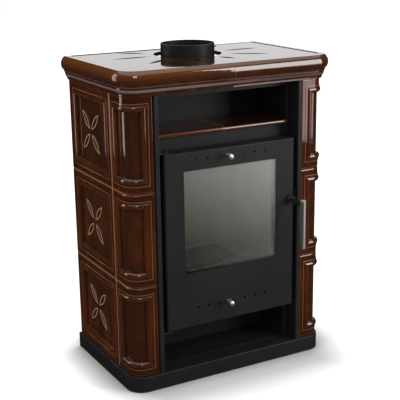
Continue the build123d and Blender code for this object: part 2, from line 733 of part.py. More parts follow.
roll_bottom_z = section_foot_z + neck_height
roll_top_z = roll_bottom_z + roll_height
nose_bottom_z = roll_top_z + cove_height
crest_z = cornice_top_z - crest_drop
slot_step = 360 / leaf_slot_count
crest_y = cornice_foot_y - cornice_reach
slab_edge = cornice_rim - 1.0
for side, name in ((-1, "cornice_left"), (1, "cornice_right")):
    start_x = side * cornice_joint / 2
    bend_x = side * (cornice_foot_x - cornice_foot_radius)
    bend_y = cornice_foot_y + cornice_foot_radius
    bend_reach = cornice_foot_radius * cos(radians(45))
    with BuildPart() as cornice:
        with BuildLine() as foot_line:
            Line((start_x, cornice_foot_y, 0), (bend_x, cornice_foot_y, 0))
            ThreePointArc(
                (bend_x, cornice_foot_y, 0),
                (bend_x + side * bend_reach, bend_y - bend_reach, 0),
                (side * cornice_foot_x, bend_y, 0),
            )
            Line((side * cornice_foot_x, bend_y, 0), (side * cornice_foot_x, rear_y, 0))
        section_plane = Plane(
            origin=(start_x, cornice_foot_y, 0), x_dir=(0, -1, 0), z_dir=(-1, 0, 0)
        )
        with BuildSketch(section_plane):
            cornice_section()
        sweep(path=foot_line.line)
        slab_front_y = cornice_foot_y + slab_edge
        slab_side_x = cornice_foot_x - slab_edge
        with BuildSketch(Plane.XY.offset(slab_bottom_z)):
            with Locations((side * (cornice_joint / 2 + slab_side_x) / 2,
                            (slab_front_y + rear_y) / 2)):
                Rectangle(slab_side_x - cornice_joint / 2, rear_y - slab_front_y)
            if side > 0:
                fillet(vertices().group_by(Axis.Y)[0].sort_by(Axis.X)[-1], slab_edge)
            else:
                fillet(vertices().group_by(Axis.Y)[0].sort_by(Axis.X)[0], slab_edge)
        extrude(amount=slab_thickness)
        field_x = cornice_foot_x + cornice_reach - border_inset
        field_y = crest_y + border_inset
        field_rear_y = rear_y - border_inset + cornice_reach
        with BuildSketch(Plane.XY.offset(cornice_top_z)):
            with Locations((0, (field_y + field_rear_y) / 2)):
                Rectangle(2 * field_x, field_rear_y - field_y)
            fillet(vertices().group_by(Axis.Y)[0], cornice_foot_radius)
        extrude(amount=-border_depth, mode=Mode.SUBTRACT)
        with BuildSketch(Plane.XY.offset(cornice_top_z)):
            with Locations((0, flue_y)):
                Circle(flue_hole_radius)
            for index in range(leaf_slot_count):
                angle = slot_step * index
                steep = abs(sin(radians(angle))) > 0.9
                behind = 90 - slot_step / 2 - 1 < angle < 90 + slot_step / 2 + 1
                rearward = 0 < angle < 180
                length = leaf_slot_long
                if rearward:
                    length = leaf_slot_middle
                if steep:
                    length = leaf_slot_short
                if not behind:
                    turn = radians(angle)
                    root_x = leaf_slot_start_radius * cos(turn)
                    root_y = flue_y + leaf_slot_start_radius * sin(turn)
                    leaf((root_x, root_y), angle, length, leaf_slot_bulge)
        extrude(amount=-slab_thickness, mode=Mode.SUBTRACT)
    cornice.part.label = name
    export_step(cornice.part, f"parts/{name}.step")

# ---------------------------------------------------------------- flat side tiles
tile_height = row_height - tile_joint
panel_front_y = side_joint_y + tile_joint / 2
panel_length = rear_y - panel_front_y
panel_mid_y = (rear_y + panel_front_y) / 2
bead_depth = bead_radius - bead_proud
frame_front_y = panel_front_y + bead_side_margin
frame_rear_y = rear_y - bead_rear_margin
frame_mid_y = (frame_front_y + frame_rear_y) / 2
bead_half_length = (frame_rear_y - frame_front_y) / 2
bead_half_height = tile_height / 2 - bead_end_margin


def panel_tile(side, bottom_z):
    """Flat tile: rounded edges, a raised bead frame and four leaf outlines in the sunk field."""
    middle = (side * panel_mid_y, bottom_z + tile_height / 2)
    frame_middle = (side * frame_mid_y, middle[1])
    bead_corners = [
        (frame_middle[0] + along * bead_half_length, frame_middle[1] + up * bead_half_height)
        for along, up in ((-1, -1), (1, -1), (1, 1), (-1, 1))
    ]
    with BuildPart() as tile:
        with BuildSketch(side_plane(side, face_x - tile_depth)):
            with Locations(middle):
                Rectangle(panel_length, tile_height)
        extrude(amount=tile_depth)
        outer_face = faces().sort_by(Axis.X)[-1 if side > 0 else 0]
        fillet(outer_face.edges(), tile_edge_radius)
        with BuildSketch(side_plane(side, face_x - tile_depth)):
            with Locations(middle):
                Rectangle(panel_length - 2 * tile_rim, tile_height - 2 * tile_rim)
        extrude(amount=tile_depth - tile_wall, mode=Mode.SUBTRACT)
        with BuildSketch(side_plane(side, face_x)):
            with Locations(frame_middle):
                Rectangle(
                    2 * (bead_half_length + frame_half_width),
                    2 * (bead_half_height + frame_half_width),
                )
        extrude(amount=frame_proud)
        with BuildSketch(side_plane(side, face_x + frame_proud)):
            with Locations(frame_middle):
                Rectangle(2 * bead_half_length, 2 * bead_half_height)
        extrude(amount=-(frame_proud + field_depth), mode=Mode.SUBTRACT)
        with BuildLine(side_plane(side, face_x - bead_depth)) as bead_line:
            Polyline(*bead_corners, close=True)
        with BuildSketch(Plane(origin=bead_line.line @ 0, z_dir=bead_line.line % 0)):
            Circle(bead_radius)
        sweep(path=bead_line.line, transition=Transition.RIGHT)
        with BuildSketch(side_plane(side, face_x - field_depth)):
            for turn in (45, 135, 225, 315):
                root_x = middle[0] + petal_start * cos(radians(turn))
                root_z = middle[1] + petal_start * sin(radians(turn))
                leaf((root_x, root_z), turn, petal_length, petal_bulge)
                leaf(
                    (root_x, root_z), turn, petal_length, petal_bulge, petal_ridge, Mode.SUBTRACT
                )
        extrude(amount=petal_height)
    return tile


# ---------------------------------------------------------------- rounded corner tiles
corner_centre_x = face_x - tile_corner_radius
corner_centre_y = face_y + tile_corner_radius
corner_side_end_y = side_joint_y - tile_joint / 2
corner_bead_y = corner_side_end_y - bead_side_margin
corner_bead_x = leg_end_x + bead_side_margin


def corner_line(side, depth, from_y, to_x):
    """Plan line round a front corner of the tile coat, at a depth below its face."""
    radius = tile_corner_radius - depth
    reach = radius * cos(radians(45))
    bend_start = (side * (face_x - depth), corner_centre_y)
    bend_end = (side * corner_centre_x, face_y + depth)
    Line((side * (face_x - depth), from_y), bend_start)
    ThreePointArc(
        bend_start, (side * (corner_centre_x + reach), corner_centre_y - reach), bend_end
    )
    Line(bend_end, (side * to_x, face_y + depth))


def corner_band(side, outer_depth, inner_depth, from_y, to_x):
    """Plan area between two depths below the tile face, round a front corner."""
    with BuildLine() as band_line:
        corner_line(side, outer_depth, from_y, to_x)
        corner_line(side, inner_depth, from_y, to_x)
        Line((side * (face_x - outer_depth), from_y), (side * (face_x - inner_depth), from_y))
        Line((side * to_x, face_y + outer_depth), (side * to_x, face_y + inner_depth))
    make_face(band_line.edges())


def depth_below_face(point):
    """Depth of a point below the tile coat's face, near a front corner."""
    if abs(point.X) > corner_centre_x and point.Y < corner_centre_y:
        return tile_corner_radius - hypot(
            abs(point.X) - corner_centre_x, point.Y - corner_centre_y
        )
    if point.Y < corner_centre_y:
        return point.Y - face_y
    return face_x - abs(point.X)


def is_outer_edge(edge):
    """True for an edge on the tile's face that isn't one of the seams at the bend's ends."""
    on_face = all(abs(depth_below_face(edge @ share)) < 0.01 for share in (0, 0.5, 1))
    middle = edge @ 0.5
    upright = abs((edge % 0.5).Z) > 0.9
    at_end = middle.Y > corner_side_end_y - 0.01 or abs(middle.X) < leg_end_x + 0.01
    return on_face and (at_end or not upright)


def corner_bead_path(side, bottom_z):
    """Closed line of the bead frame that wraps the rounded corner of a tile."""
    low_z = bottom_z + bead_end_margin
    high_z = bottom_z + tile_height - bead_end_margin
    wall_x = side * (face_x - bead_depth)
    wall_y = face_y + bead_depth
    wrap_reach = (tile_corner_radius - bead_depth) * cos(radians(45))
    wrap_x = side * corner_centre_x
    wrap_middle = (side * (corner_centre_x + wrap_reach), corner_centre_y - wrap_reach)
    front_x = side * corner_bead_x
    middle_z = (low_z + high_z) / 2
    Line((wall_x, corner_bead_y, middle_z), (wall_x, corner_bead_y, high_z))
    Line((wall_x, corner_bead_y, high_z), (wall_x, corner_centre_y, high_z))
    ThreePointArc(
        (wall_x, corner_centre_y, high_z), (*wrap_middle, high_z), (wrap_x, wall_y, high_z)
    )
    Line((wrap_x, wall_y, high_z), (front_x, wall_y, high_z))
    Line((front_x, wall_y, high_z), (front_x, wall_y, low_z))
    Line((front_x, wall_y, low_z), (wrap_x, wall_y, low_z))
    ThreePointArc(
        (wrap_x, wall_y, low_z), (*wrap_middle, low_z), (wall_x, corner_centre_y, low_z)
    )
    Line((wall_x, corner_centre_y, low_z), (wall_x, corner_bead_y, low_z))
    Line((wall_x, corner_bead_y, low_z), (wall_x, corner_bead_y, middle_z))


def corner_tile(side, bottom_z):
    """Tile bent round a front corner of the stove, with a bead frame that wraps the bend."""
    with BuildPart() as tile:
        with BuildSketch(Plane.XY.offset(bottom_z)):
            corner_band(side, 0, tile_depth, corner_side_end_y, leg_end_x)
        extrude(amount=tile_height)
        fillet([edge for edge in edges() if is_outer_edge(edge)], tile_edge_radius)
        with BuildSketch(Plane.XY.offset(bottom_z + tile_rim)):
            corner_band(
                side,
                tile_wall,
                tile_depth + tile_joint,
                corner_side_end_y - tile_rim,
                leg_end_x + tile_rim,
            )
        extrude(amount=tile_height - 2 * tile_rim, mode=Mode.SUBTRACT)
        with BuildSketch(Plane.XY.offset(bottom_z + bead_end_margin - frame_half_width)):
            corner_band(
                side,
                -frame_proud,
                field_depth,
                corner_bead_y + frame_half_width,
                corner_bead_x - frame_half_width,
            )
        extrude(amount=tile_height - 2 * (bead_end_margin - frame_half_width))
        with BuildSketch(Plane.XY.offset(bottom_z + bead_end_margin)):
            corner_band(side, -2 * frame_proud, field_depth, corner_bead_y, corner_bead_x)
        extrude(amount=tile_height - 2 * bead_end_margin, mode=Mode.SUBTRACT)
        with BuildLine() as bead_line:
            corner_bead_path(side, bottom_z)
        with BuildSketch(Plane(origin=bead_line.line @ 0, z_dir=bead_line.line % 0)):
            Circle(bead_radius)
        sweep(path=bead_line.line, transition=Transition.RIGHT)
    return tile


for side, name in ((-1, "left"), (1, "right")):
    for row in range(tile_rows):
        row_bottom_z = plinth_height + row * row_height
        panel = panel_tile(side, row_bottom_z)
        panel.part.label = f"panel_tile_{name}_{row + 1}"
        export_step(panel.part, f"parts/panel_tile_{name}_{row + 1}.step")
        corner = corner_tile(side, row_bottom_z)
        corner.part.label = f"corner_tile_{name}_{row + 1}"
        export_step(corner.part, f"parts/corner_tile_{name}_{row + 1}.step")

clip_places = (rear_y - clip_inset, panel_front_y + clip_inset, corner_centre_y + clip_length)
with BuildPart() as tile_clips:
    for side in (-1, 1):
        for row in range(tile_rows):
            hook_z = plinth_height + row * row_height + tile_rim + tile_joint
            for clip_y in clip_places:
                clip_mid_y = side * clip_y
                with BuildSketch(side_plane(side, casing_outer_x)):
                    with Locations((clip_mid_y, hook_z + clip_height / 2)):
                        Rectangle(clip_length, clip_height)
                extrude(amount=clip_sheet)
                with BuildSketch(side_plane(side, casing_outer_x)):
                    with Locations((clip_mid_y, hook_z + clip_sheet / 2)):
                        Rectangle(clip_length, clip_sheet)
                extrude(amount=clip_reach)
tile_clips.part.label = "tile_clips"
export_step(tile_clips.part, "parts/tile_clips.step")

# ---------------------------------------------------------------- door
slot_end = knob_stem_radius + door_fit
hole_places = [
    sign * (air_hole_first + index * air_hole_pitch)
    for sign in (-1, 1)
    for index in range(air_holes_each_side)
]
window_height = window_top_z - window_bottom_z
window_mid_z = (window_top_z + window_bottom_z) / 2
nose_front_y = skin_back_y + latch_bush_length + latch_clearance
nose_back_y = nose_front_y + latch_nose_thickness
nose_corner_reach = hypot(latch_nose_reach, latch_nose_height / 2)
return_inside_x = door_half_width - door_return
nose_drop = (nose_corner_reach**2 - (return_inside_x - handle_x) ** 2) ** 0.5
nose_slot_bottom_z = handle_z - nose_drop - latch_clearance
nose_slot_top_z = handle_z + latch_nose_height / 2 + latch_clearance

with BuildPart() as door_panel:
    with BuildSketch(front_plane(door_back_y)):
        with Locations((0, door_mid_z)):
            Rectangle(2 * door_half_width, door_height)
    extrude(amount=door_back_y - door_face_y)
    fillet(faces().sort_by(Axis.Y)[0].edges(), door_edge_radius)
    with BuildSketch(front_plane(door_back_y)):
        with Locations((0, door_mid_z)):
            Rectangle(2 * return_inside_x, door_height - 2 * door_return)
    extrude(amount=door_back_y - skin_back_y, mode=Mode.SUBTRACT)
    with BuildSketch(front_plane(skin_back_y)):
        with Locations((0, window_mid_z)):
            RectangleRounded(2 * window_half_width, window_height, window_corner_radius)
        for air_z in (upper_air_z, lower_air_z):
            with Locations(*[(hole_x, air_z) for hole_x in hole_places]):
                Circle(air_hole_radius)
            with Locations((knob_rest_x + slider_travel / 2, air_z)):
                SlotOverall(slider_travel + 2 * slot_end, 2 * slot_end)
        with Locations((handle_x, handle_z)):
            Circle(latch_shaft_radius + hinge_clearance)
    extrude(amount=door_skin, mode=Mode.SUBTRACT)
    for edge_z, inward in ((door_top_z, -1), (door_bottom_z, 1)):
        with BuildSketch(Plane.XY.offset(edge_z)):
            with Locations((hinge_x, hinge_y)):
                Circle(hinge_pin_radius + door_fit)
        extrude(amount=inward * door_return, mode=Mode.SUBTRACT)
    with BuildSketch(side_plane(1, return_inside_x)):
        with Locations(((nose_front_y + nose_back_y) / 2,
                        (nose_slot_bottom_z + nose_slot_top_z) / 2)):
            Rectangle(
                latch_nose_thickness + 2 * latch_clearance, nose_slot_top_z - nose_slot_bottom_z
            )
    extrude(amount=door_return, mode=Mode.SUBTRACT)
door_panel.part.label = "door_panel"
export_step(door_panel.part, "parts/door_panel.step")

inner_window_half_width = window_half_width + inner_window_margin
inner_window_height = window_height + 2 * inner_window_margin
with BuildPart() as door_inner_frame:
    with BuildSketch(front_plane(inner_frame_back_y)):
        with Locations((0, door_mid_z)):
            Rectangle(
                2 * (return_inside_x - door_fit), door_height - 2 * (door_return + door_fit)
            )
        with Locations((0, window_mid_z)):
            Rectangle(2 * inner_window_half_width, inner_window_height, mode=Mode.SUBTRACT)
    extrude(amount=door_inner_frame_thickness)
door_inner_frame.part.label = "door_inner_frame"
export_step(door_inner_frame.part, "parts/door_inner_frame.step")

glass_height = glass_top_z - glass_bottom_z
with BuildPart() as door_glass:
    with BuildSketch(front_plane(glass_back_y)):
        with Locations((0, window_mid_z)):
            Rectangle(2 * glass_half_width, glass_height)
    extrude(amount=glass_thickness)
door_glass.part.label = "door_glass"
export_step(door_glass.part, "parts/door_glass.step")

with BuildPart() as glass_gasket:
    with BuildSketch(front_plane(glass_front_y)):
        with Locations((0, window_mid_z)):
            Rectangle(2 * glass_half_width, glass_height)
            Rectangle(
                2 * (glass_half_width - gasket_width),
                glass_height - 2 * gasket_width,
                mode=Mode.SUBTRACT,
            )
    extrude(amount=gasket_thickness)
glass_gasket.part.label = "glass_gasket"
export_step(glass_gasket.part, "parts/glass_gasket.step")

retainer_places = [window_mid_z + share * window_height / 3 for share in (-1, 0, 1)]
with BuildPart() as glass_retainers:
    for side in (-1, 1):
        for retainer_z in retainer_places:
            foot_mid_x = side * (glass_half_width + door_fit + retainer_foot / 2)
            tongue_inner_x = glass_half_width - retainer_reach
            tongue_outer_x = glass_half_width + door_fit + retainer_foot
            with BuildSketch(Plane.XY.offset(retainer_z - retainer_width / 2)):
                with Locations((foot_mid_x, (skin_back_y + glass_back_y) / 2)):
                    Rectangle(retainer_foot, glass_back_y - skin_back_y)
                with Locations((side * (tongue_inner_x + tongue_outer_x) / 2,
                                glass_back_y + retainer_thickness / 2)):
                    Rectangle(tongue_outer_x - tongue_inner_x, retainer_thickness)
            extrude(amount=retainer_width)
glass_retainers.part.label = "glass_retainers"
export_step(glass_retainers.part, "parts/glass_retainers.step")

wash_strip_half_width = window_half_width + wash_strip_margin
wash_foot_z = window_mid_z - inner_window_height / 2
wash_back_y = inner_frame_front_y
wash_front_y = wash_back_y - wash_strip_depth
with BuildPart() as air_wash_strip:
    with BuildSketch(Plane.XY.offset(wash_foot_z)):
        with Locations((0, (wash_front_y + wash_back_y) / 2)):
            Rectangle(2 * wash_strip_half_width, wash_back_y - wash_front_y)
    extrude(amount=-wash_strip_sheet)
    with BuildSketch(front_plane(wash_front_y + wash_strip_sheet)):
        with Locations((0, wash_foot_z + wash_strip_height / 2)):
            Rectangle(2 * wash_strip_half_width, wash_strip_height)
            with GridLocations(wash_slot_pitch, 1, wash_slot_count, 1):
                SlotOverall(wash_slot_length, wash_slot_height, mode=Mode.SUBTRACT)
    extrude(amount=wash_strip_sheet)
air_wash_strip.part.label = "air_wash_strip"
export_step(air_wash_strip.part, "parts/air_wash_strip.step")

seal_front_y = inner_frame_back_y
seal_depth = plate_face_y - seal_clearance - seal_front_y
seal_outer_width = 2 * (door_half_width - seal_inset)
seal_outer_height = door_height - 2 * seal_inset
with BuildPart() as door_seal:
    with BuildSketch(front_plane(seal_front_y)):
        with Locations((0, door_mid_z)):
            RectangleRounded(seal_outer_width, seal_outer_height, seal_bend_radius)
            RectangleRounded(
                seal_outer_width - 2 * seal_width,
                seal_outer_height - 2 * seal_width,
                seal_bend_radius - seal_width,
                mode=Mode.SUBTRACT,
            )
    extrude(amount=-seal_depth)
    chamfer(faces().sort_by(Axis.Y)[-1].edges(), seal_chamfer)
door_seal.part.label = "door_seal"
export_step(door_seal.part, "parts/door_seal.step")

# ---------------------------------------------------------------- hinge
hinge_block_outer_x = return_inside_x - slider_clearance
hinge_block_inner_x = hinge_block_outer_x - hinge_block_width
hinge_block_back_y = hinge_y + hinge_pin_radius + guide_thickness
with BuildPart() as door_hinge_blocks:
    for block_z, upward in ((door_top_z - door_return, -1), (door_bottom_z + door_return, 1)):
        with BuildSketch(Plane.XY.offset(block_z)):
            with Locations((-(hinge_block_outer_x + hinge_block_inner_x) / 2,
                            (skin_back_y + hinge_block_back_y) / 2)):
                Rectangle(hinge_block_width, hinge_block_back_y - skin_back_y)
            with Locations((hinge_x, hinge_y)):
                Circle(hinge_pin_radius + hinge_clearance, mode=Mode.SUBTRACT)
        extrude(amount=upward * hinge_block_height)
door_hinge_blocks.part.label = "door_hinge_blocks"
export_step(door_hinge_blocks.part, "parts/door_hinge_blocks.step")

tab_end_x = hinge_x + hinge_tab_width / 2
tab_width_x = tab_end_x + jamb_inner_x
tab_corner_radius = hinge_tab_width * 0.3
with BuildPart() as hinge_brackets:
    for door_edge_z, outward in ((door_top_z, 1), (door_bottom_z, -1)):
        tab_z = door_edge_z + outward * hinge_tab_gap
        with BuildSketch(Plane.XY.offset(tab_z)):
            with Locations((-jamb_inner_x + tab_width_x / 2, hinge_y)):
                Rectangle(tab_width_x, hinge_tab_width)
            fillet(vertices().group_by(Axis.X)[-1], tab_corner_radius)
            with Locations((hinge_x, hinge_y)):
                Circle(hinge_pin_radius + hinge_clearance, mode=Mode.SUBTRACT)
        extrude(amount=outward * hinge_tab_thickness)
        with BuildSketch(Plane.XY.offset(tab_z)):
            with Locations((-jamb_inner_x + hinge_tab_thickness / 2, hinge_y)):
                Rectangle(hinge_tab_thickness, hinge_tab_width)
        extrude(amount=outward * hinge_flange_height)
hinge_brackets.part.label = "hinge_brackets"
export_step(hinge_brackets.part, "parts/hinge_brackets.step")

with BuildPart() as hinge_pins:
    for door_edge_z, outward in ((door_top_z, 1), (door_bottom_z, -1)):
        pin_foot_z = door_edge_z - outward * (door_return + hinge_block_height * 0.8)
        head_z = door_edge_z + outward * (hinge_tab_gap + hinge_tab_thickness)
        with BuildSketch(Plane.XY.offset(head_z)):
            with Locations((hinge_x, hinge_y)):
                Circle(hinge_pin_radius)
        extrude(amount=pin_foot_z - head_z)
        with BuildSketch(Plane.XY.offset(head_z)):
            with Locations((hinge_x, hinge_y)):
                Circle(hinge_pin_head_radius)
        extrude(amount=outward * hinge_pin_head_height)
hinge_pins.part.label = "hinge_pins"
export_step(hinge_pins.part, "parts/hinge_pins.step")

# ---------------------------------------------------------------- air sliders in the door
guide_half_length = slider_half_length + slider_travel + guide_height
guide_back_y = slider_back_y + slider_clearance + guide_thickness
with BuildPart() as slider_guides:
    for air_z in (upper_air_z, lower_air_z):
        for up in (-1, 1):
            root_z = air_z + up * (slider_height / 2 + slider_clearance)
            lip_z = air_z + up * (slider_height / 2 - guide_lip)
            end_z = root_z + up * guide_height
            with BuildSketch(Plane.YZ.offset(-guide_half_length)):
                with Locations(((skin_back_y + guide_back_y) / 2, (root_z + end_z) / 2)):
                    Rectangle(guide_back_y - skin_back_y, guide_height)
                with Locations((guide_back_y - guide_thickness / 2, (lip_z + end_z) / 2)):
                    Rectangle(guide_thickness, abs(end_z - lip_z))
            extrude(amount=2 * guide_half_length)
slider_guides.part.label = "slider_guides"
export_step(slider_guides.part, "parts/slider_guides.step")

knob_tip_y = door_face_y - knob_reach
knob_length = slider_front_y - knob_tip_y
knob_neck_length = knob_length * 0.5
dome_radius = (knob_radius**2 + knob_dome**2) / (2 * knob_dome)
dome_angle = asin(knob_radius / dome_radius)
for level, air_z in (("upper", upper_air_z), ("lower", lower_air_z)):
    with BuildPart() as slider:
        with BuildSketch(front_plane(slider_back_y)):
            with Locations((0, air_z)):
                Rectangle(2 * slider_half_length, slider_height)
            with Locations(*[(hole_x, air_z) for hole_x in hole_places]):
                Rectangle(3 * air_hole_radius, 3 * air_hole_radius, mode=Mode.SUBTRACT)
        extrude(amount=slider_thickness)
    slider.part.label = f"air_slider_{level}"
    export_step(slider.part, f"parts/air_slider_{level}.step")

    with BuildPart() as knob:
        knob_plane = Plane(
            origin=(knob_rest_x, slider_front_y, air_z), x_dir=(1, 0, 0), z_dir=(0, 0, 1)
        )
        with BuildSketch(knob_plane):
            with BuildLine():
                Polyline(
                    (0, 0),
                    (knob_stem_radius, 0),
                    (knob_stem_radius, -knob_neck_length),
                    (knob_radius, -knob_neck_length - knob_flare),
                    (knob_radius, knob_dome - knob_length),
                )
                ThreePointArc(
                    (knob_radius, knob_dome - knob_length),
                    (dome_radius * sin(dome_angle / 2),
                     dome_radius - knob_length - dome_radius * cos(dome_angle / 2)),
                    (0, -knob_length),
                )
                Line((0, -knob_length), (0, 0))
            make_face()
        revolve(axis=Axis((knob_rest_x, slider_front_y, air_z), (0, 1, 0)))
    knob.part.label = f"slider_knob_{level}"
    export_step(knob.part, f"parts/slider_knob_{level}.step")

# ---------------------------------------------------------------- handle and latch
hub_back_y = door_face_y - slider_clearance
hub_front_y = hub_back_y - handle_hub_thickness
with BuildPart() as handle_arm:
    with BuildSketch(front_plane(hub_back_y)):
        with Locations((handle_x, handle_z)):
            Circle(handle_hub_radius)
    extrude(amount=handle_hub_thickness)
    with BuildSketch(front_plane(hub_front_y)):
        with Locations((handle_x, handle_z)):
            Circle(handle_stem_radius)
    extrude(amount=hub_front_y - handle_axis_y)
    with BuildSketch(Plane.XY.offset(handle_z - handle_hub_radius)):
        with Locations((handle_x, handle_axis_y)):
            Circle(handle_grip_radius + hinge_clearance)
    extrude(amount=2 * handle_hub_radius, mode=Mode.SUBTRACT)
handle_arm.part.label = "handle_arm"
export_step(handle_arm.part, "parts/handle_arm.step")

with BuildPart() as handle_grip:
    with BuildSketch(Plane.XY.offset(handle_grip_top_z - handle_grip_length)):
        with Locations((handle_x, handle_axis_y)):
            Circle(handle_grip_radius)
    extrude(amount=handle_grip_length)
    chamfer(edges().filter_by(GeomType.CIRCLE), grip_chamfer)
handle_grip.part.label = "handle_grip"
export_step(handle_grip.part, "parts/handle_grip.step")

with BuildPart() as latch_shaft:
    with BuildSketch(front_plane(nose_back_y)):
        with Locations((handle_x, handle_z)):
            Circle(latch_shaft_radius)
    extrude(amount=nose_back_y - hub_back_y)
    with BuildSketch(front_plane(nose_back_y)):
        with Locations((handle_x, handle_z)):
            Circle(latch_nose_height / 2)
        with Locations((handle_x + latch_nose_reach / 2, handle_z)):
            Rectangle(latch_nose_reach, latch_nose_height)
    extrude(amount=latch_nose_thickness)
latch_shaft.part.label = "latch_shaft"
export_step(latch_shaft.part, "parts/latch_shaft.step")

with BuildPart() as latch_bush:
    with BuildSketch(front_plane(skin_back_y + latch_bush_length)):
        with Locations((handle_x, handle_z)):
            Circle(min(latch_bush_radius, return_inside_x - handle_x - door_fit))
            Circle(latch_shaft_radius + hinge_clearance, mode=Mode.SUBTRACT)
    extrude(amount=latch_bush_length)
latch_bush.part.label = "latch_bush"
export_step(latch_bush.part, "parts/latch_bush.step")

keeper_lip_x = handle_x + latch_nose_reach + keeper_gap
keeper_lip_back_y = nose_front_y - latch_clearance
keeper_back_y = nose_back_y + latch_nose_thickness
keeper_front_y = keeper_lip_back_y - 2 * keeper_sheet
with BuildPart() as latch_keeper:
    with BuildSketch(Plane.XY.offset(handle_z - keeper_height / 2)):
        with Locations((jamb_inner_x - keeper_sheet / 2, (keeper_front_y + keeper_back_y) / 2)):
            Rectangle(keeper_sheet, keeper_back_y - keeper_front_y)
        with Locations(((keeper_lip_x + jamb_inner_x) / 2,
                        (keeper_front_y + keeper_lip_back_y) / 2)):
            Rectangle(jamb_inner_x - keeper_lip_x, keeper_lip_back_y - keeper_front_y)
    extrude(amount=keeper_height)
latch_keeper.part.label = "latch_keeper"
export_step(latch_keeper.part, "parts/latch_keeper.step")
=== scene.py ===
"""Looks of the tiled stove: glazed tiles, black steel, fire glass and bare metal, on a white floor.

Metres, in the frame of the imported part. +X is the stove's right side, +Y its back and +Z up.
Azimuths are in degrees, from the front (-Y) towards the stove's left (-X).
"""

import json
from math import cos, pi, radians, sin

import bpy
from mathutils import Matrix, Vector

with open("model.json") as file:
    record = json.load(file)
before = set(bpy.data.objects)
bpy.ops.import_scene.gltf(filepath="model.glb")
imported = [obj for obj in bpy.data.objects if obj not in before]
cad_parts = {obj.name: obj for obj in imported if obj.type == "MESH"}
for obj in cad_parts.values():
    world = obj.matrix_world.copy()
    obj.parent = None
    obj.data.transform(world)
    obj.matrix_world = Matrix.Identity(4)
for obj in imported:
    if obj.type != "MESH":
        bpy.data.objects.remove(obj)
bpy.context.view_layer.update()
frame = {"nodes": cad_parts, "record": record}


def grey(level):
    return (level, level, level)


# ---------------------------------------------------------------- camera
CAMERA_PLACE = (-1.2722, -2.3054, 1.1889)
CAMERA_YAW = radians(29.009)        # from +Y towards +X
CAMERA_PITCH = radians(15.647)      # below the horizon
CAMERA_ROLL = radians(-0.841)
CAMERA_LENS = 86.34
SENSOR_WIDTH = 36.0

# ---------------------------------------------------------------- colours, linear
WHITE = grey(1.0)
GLAZE_DARK_AND_CREASE_SHADE = (0.023, 0.0078, 0.0034)        # dark tone of the glaze, and painted shade in the creases, where it pools
GLAZE_BODY = (0.075, 0.0180, 0.0046)
GLAZE_WARM = (0.125, 0.034, 0.0095)         # on what is raised
GLAZE_AMBER = (0.112, 0.038, 0.010)         # on the bullnose: its amber glaze, painted light towards the top
GLAZE_NOSE_SHADE = (0.042, 0.012, 0.005)         # painted shade on the bullnose's underside
GLAZE_EDGE_HIGHLIGHT = (0.330, 0.170, 0.095)          # painted highlight on the cornice's edges, partly their thinner glaze
GLAZE_FRAME_HIGHLIGHT = (0.255, 0.120, 0.062)         # painted highlight on the edges of the tiles' frames, partly their thinner glaze
GLAZE_PETAL_HIGHLIGHT = (0.500, 0.290, 0.175)         # painted highlight on the edges of the petals, partly their thinner glaze
GLAZE_JOINT = (0.46, 0.23, 0.125)           # where two tiles meet
# painted shade on the walls of the cut-outs
SLOT_WALL_SHADE = (0.006, 0.004, 0.003)
# the others as pairs, dark and pale
BLACK_PAINT = ((0.0098, 0.0099, 0.0102), (0.0138, 0.0139, 0.0143))
ZINC = ((0.30, 0.31, 0.32), (0.42, 0.43, 0.44))
BARE_STEEL = ((0.62, 0.61, 0.59), (0.80, 0.79, 0.77))
CHROME = ((0.74, 0.75, 0.77), (0.86, 0.87, 0.88))
SOOT = (grey(0.012), (0.035, 0.033, 0.030))
CAST_IRON = ((0.018, 0.017, 0.016), (0.055, 0.050, 0.046))
BRICK = ((0.40, 0.34, 0.26), (0.66, 0.59, 0.48))
BRICK_SMUDGE = (0.36, 0.32, 0.26)
GLASS = ((0.275, 0.275, 0.245), (0.310, 0.307, 0.275))
# painted reflection on the fire glass, paler upwards and to the right
GLASS_REFLECTION = (0.66, 0.652, 0.632)
ROPE = ((0.035, 0.035, 0.036), (0.11, 0.11, 0.115))
CLOTH = ((0.010, 0.009, 0.008), (0.022, 0.020, 0.018))
FLOOR_LIT = grey(0.88)
FLOOR_SHADED = grey(0.50)
# painted shadow where the plinth meets the floor
FLOOR_CONTACT_SHADE = grey(0.45)

# ---------------------------------------------------------------- glaze
GLAZE_ROUGHNESS = 0.05
GLAZE_COAT = 0.35
GLAZE_IOR = 1.6
CREASE_SHADE_REACH = 0.012
RAISED_REACH = 0.0045
RIM_HIGHLIGHT_REACH = 0.0025
# pairs of places between which a mask runs from 0 to 1, or from 1 to 0
SIDE_FACE_X = (0.290, 0.300)        # beyond it lie the tiles' side faces
# painted light: the upright joint's pale lines grow brighter upwards between these heights
JOINT_LIGHT_FADE_Z = (0.25, 0.70)
UPRIGHT_JOINT_FADE = (0.0010, 0.0032)
LEVEL_JOINT_FADE = (0.0008, 0.0024)
PETAL_FADE = (0.060, 0.075)
SIDE_JOINT_Y = -0.0835              # upright joint between corner and panel tiles
PANEL_MIDDLE_Y = 0.053
TILES_MIDDLE_Z = 0.42175            # the level joints lie half a row above and below it
HALF_ROW = 0.126
NOSE_BOTTOM_Z = (0.8285, 0.8325)
# painted shade on the bullnose's underside turns to painted light above it between these heights
NOSE_SHADE_TO_LIGHT_Z = (0.838, 0.860)
NOSE_TILT = (0.70, 0.95)            # the normal's Z, towards the flat top
# painted light: lighter towards the left, falling to 0.45 at the right
LIT_LEFT_X = (-0.10, 0.14)
# the two painted reflections on the moulding, pale lines: bottom, top, colour
MOULDING_REFLECTIONS = ((0.8085, 0.8155, (0.125, 0.096, 0.090)),
                  (0.8215, 0.8232, (0.085, 0.065, 0.060)))
MOULDING_REFLECTION_FADE = 0.0015
# the cut-outs' walls lie within these places, where the glaze is painted dark as shade
CUT_SIDE_X = (0.280, 0.282)
CUT_FRONT_Y = (-0.165, -0.163)
CUT_TOP_Z = (0.86262, 0.86275)

